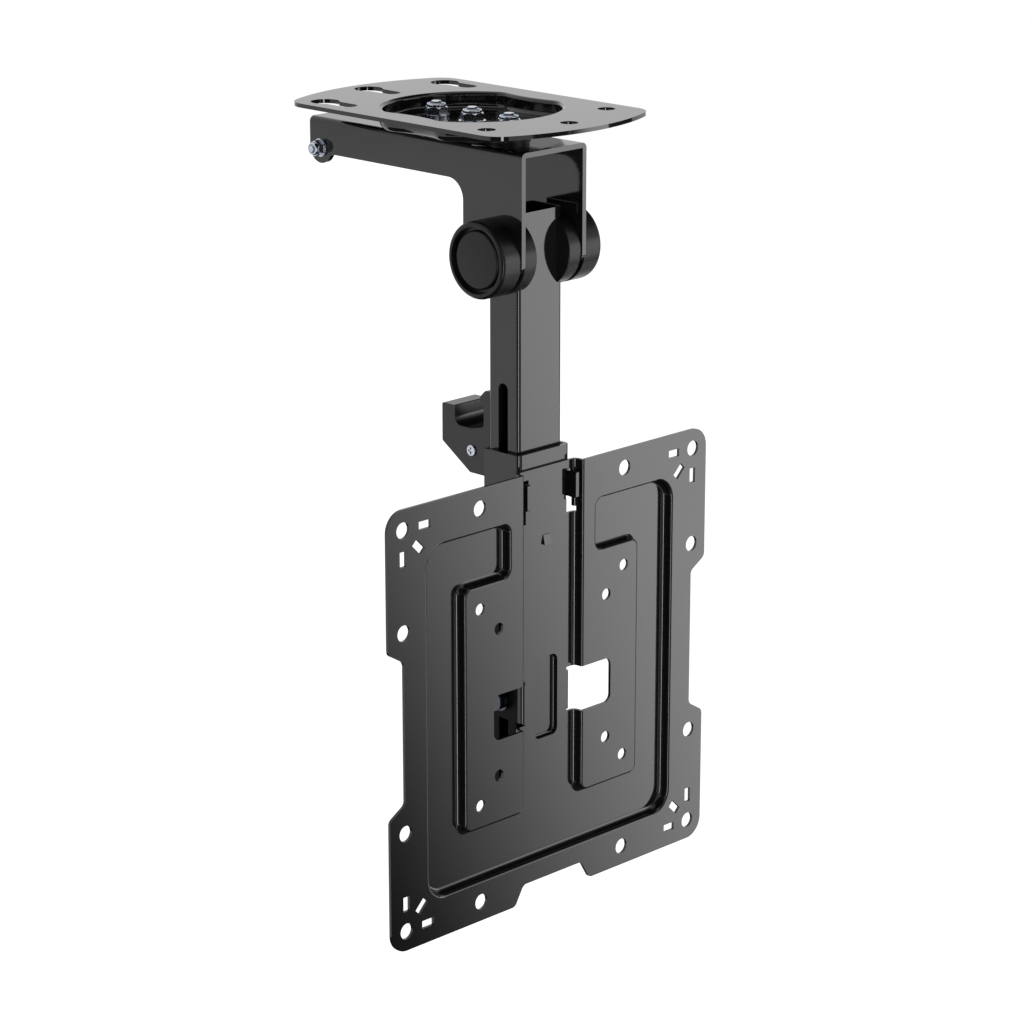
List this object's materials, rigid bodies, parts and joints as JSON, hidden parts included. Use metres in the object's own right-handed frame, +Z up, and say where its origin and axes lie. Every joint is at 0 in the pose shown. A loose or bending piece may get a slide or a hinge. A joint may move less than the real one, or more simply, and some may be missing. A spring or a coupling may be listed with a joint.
{
  "type": "tv ceiling mount",
  "caption": "Folding ceiling mount for a flat screen: ceiling plate, swivel channel, hinged post, height slide and a square screen plate.",
  "frame": {"origin": "on the swivel axis, in the plane of the ceiling plate's top face", "axes": "+Z up to the ceiling, -Y towards the viewer of the screen, +X to the right seen from the screen's front"},
  "size_m": [0.22, 0.1718, 0.3881],
  "materials": {
    "black_steel": "satin black powder coat",
    "black_plastic": "moulded, fine matt grain",
    "black_nylon": "plain moulded glide plastic",
    "zinc_steel": "bright zinc plating",
    "spring_steel": "plain hardened spring steel"
  },
  "bodies": {
    "ceiling_plate": {"ceiling_plate": "black_steel"},
    "swivel_arm": {"channel_bracket": "black_steel", "friction_pad": "black_nylon", "pivot_stud": "zinc_steel", "pivot_washer": "zinc_steel", "pivot_nut": "zinc_steel", "guide_studs": "zinc_steel", "guide_washers": "zinc_steel", "guide_nuts": "zinc_steel", "hinge_bolt": "zinc_steel", "hinge_washer": "zinc_steel", "disc_springs": "spring_steel", "hinge_nut": "zinc_steel", "left_hub_cap": "black_plastic", "right_hub_cap": "black_plastic", "left_cap_cover": "black_plastic", "right_cap_cover": "black_plastic", "stow_bolt": "zinc_steel", "stow_washers": "zinc_steel", "stow_nut": "zinc_steel"},
    "post": {"post_tube": "black_steel", "left_hinge_disc": "black_nylon", "right_hinge_disc": "black_nylon", "hinge_sleeve": "zinc_steel", "post_plug": "black_plastic"},
    "slider": {"screen_plate": "black_steel", "carrier": "black_steel", "carrier_strap": "black_steel", "glide_liner": "black_nylon", "clamp_bolt": "zinc_steel", "clamp_washers": "zinc_steel", "clamp_nut": "zinc_steel", "latch_bracket": "black_steel", "latch_pin": "zinc_steel", "latch_spring": "spring_steel"},
    "latch": {"latch_hook": "black_plastic"}
  },
  "joints": [
    {"name": "swivel", "type": "hinge", "parent": "ceiling_plate", "child": "swivel_arm", "pos_m": [0, 0, 0], "axis": [0, 0, 1], "range_deg": [-45, 45]},
    {"name": "fold", "type": "hinge", "parent": "swivel_arm", "child": "post", "pos_m": [0, -0.0356, -0.0646], "axis": [1, 0, 0], "range_deg": [0, 90]},
    {"name": "height_slide", "type": "slide", "parent": "post", "child": "slider", "axis": [0, 0, 1], "range_m": [-0.05, 0.05]},
    {"name": "latch_turn", "type": "hinge", "parent": "slider", "child": "latch", "pos_m": [0, -0.0098, -0.1662], "axis": [-1, 0, 0], "range_deg": [0, 8], "stiffness_Nm_per_rad": 0.3, "springref_deg": -5.73, "deforming": ["latch_spring"]}
  ]
}
